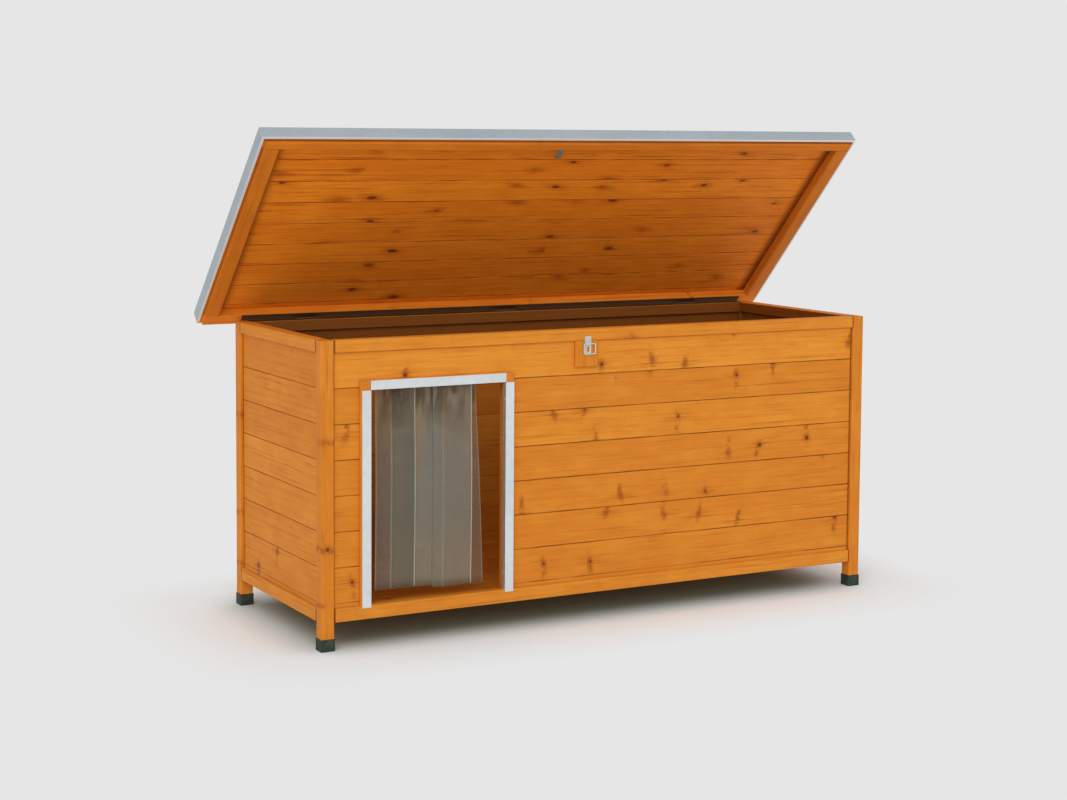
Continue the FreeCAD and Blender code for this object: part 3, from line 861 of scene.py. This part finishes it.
def seenRays(f):
    # what the camera sees, straight or through metal and plastic
    rays = f.add("ShaderNodeLightPath", output="Is Camera Ray")
    return rays.atLeast(rays.also("Is Glossy Ray")).atLeast(rays.also("Is Transmission Ray"))


def studioFloor():
    bpy.ops.mesh.primitive_plane_add(size=1.0, location=(0, 0, 0))
    ground = bpy.context.active_object
    ground.name = "studioFloor"
    s = studioSettings
    ground.data.transform(Matrix.Diagonal((s["floorSize"], s["floorSize"], 1, 1)))
    f = newFinish("studioFloor")
    x, y = f.split(f.place())[:2]
    beside = (x.size() - s["house"][0]).atLeast(0.0)
    before = (y.size() - s["house"][1]).atLeast(0.0)
    away = ((beside * beside + before * before) ** 0.5).ramp(s["clearFrom"], s["clearTo"])
    # painted shadow beneath the box, seen by the camera only
    paintedShadow = x.size().ramp(*s["shadowAlong"], 1.0, 0.0) * y.size().ramp(*s["shadowAcross"], 1.0, 0.0)
    seen = seenRays(f)
    white = s["floorBounce"] + seen * (s["floorSeen"] - s["floorBounce"])
    tones = [white * part * (1 - paintedShadow * seen * (1 - shaded))
             for part, shaded in zip(s["clear"], s["paintedShadowShare"])]
    matte = f.add("ShaderNodeBsdfDiffuse", {}, {"Color": f.join(*tones)})
    level = s["background"]
    glow = f.add("ShaderNodeEmission", {}, {"Color": (level, level, level, 1), "Strength": 1.0})
    shade = f.add("ShaderNodeMixShader", {}, [away, matte, glow])
    f.add("ShaderNodeOutputMaterial", {}, [shade])
    ground.data.materials.append(f.holder)


def studioSky():
    world = bpy.data.worlds.new("studioSky")
    bpy.context.scene.world = world
    f = Finish(world)
    s = studioSettings
    level = s["background"]
    light = f.add("ShaderNodeBackground", {}, {"Color": (1, 1, 1, 1), "Strength": s["skyStrength"]})
    back = f.add("ShaderNodeBackground", {}, {"Color": (level, level, level, 1), "Strength": 1.0})
    f.add("ShaderNodeOutputWorld", {}, [f.add("ShaderNodeMixShader", {}, [seenRays(f), light, back])])


def softSun():
    # one wide soft sun from the front left, so that the floor is evenly lit
    s = studioSettings
    lamp = bpy.data.lights.new("softSun", "SUN")
    lamp.energy = s["sunStrength"]
    lamp.angle = math.radians(s["sunWidth"])
    holder = bpy.data.objects.new("softSun", lamp)
    bpy.context.collection.objects.link(holder)
    rise = math.radians(s["sunRise"])
    aside = math.radians(s["sunSide"])
    source = Vector((math.sin(aside) * math.cos(rise), -math.cos(aside) * math.cos(rise), math.sin(rise)))
    holder.rotation_euler = source.to_track_quat("Z", "Y").to_euler()


# fitted to the edges of the box: metres, degrees and pixels
cameraSettings = {
    "place": (-2.4406, -4.3816, 1.1525),
    "yaw": 28.73,
    "pitch": 4.64,
    "roll": -0.37,
    "focalPixels": 2008.2,
    "centreRow": 300.0,
    "imageSize": (1067, 800),
    "sensorWidth": 36.0,
}


def photoCamera():
    c = cameraSettings
    yaw = math.radians(c["yaw"])
    pitch = math.radians(c["pitch"])
    roll = math.radians(c["roll"])
    forward = Vector((math.sin(yaw) * math.cos(pitch), math.cos(yaw) * math.cos(pitch), -math.sin(pitch)))
    right = Vector((math.cos(yaw), -math.sin(yaw), 0))
    down = forward.cross(right)
    rightRolled = right * math.cos(roll) + down * math.sin(roll)
    downRolled = down * math.cos(roll) - right * math.sin(roll)
    lens = bpy.data.cameras.new("photoCamera")
    lens.sensor_fit = "HORIZONTAL"
    lens.sensor_width = c["sensorWidth"]
    lens.lens = c["sensorWidth"] * c["focalPixels"] / c["imageSize"][0]
    lens.shift_y = (c["centreRow"] - c["imageSize"][1] / 2) / c["imageSize"][0]
    lens.clip_end = 100
    camera = bpy.data.objects.new("photoCamera", lens)
    bpy.context.collection.objects.link(camera)
    turned = Matrix((rightRolled, -downRolled, -forward)).transposed()
    camera.matrix_world = Matrix.Translation(c["place"]) @ turned.to_4x4()
    bpy.context.scene.camera = camera


studioFloor()
studioSky()
softSun()
photoCamera()
bpy.context.scene.view_settings.view_transform = "Standard"
print("studio done")
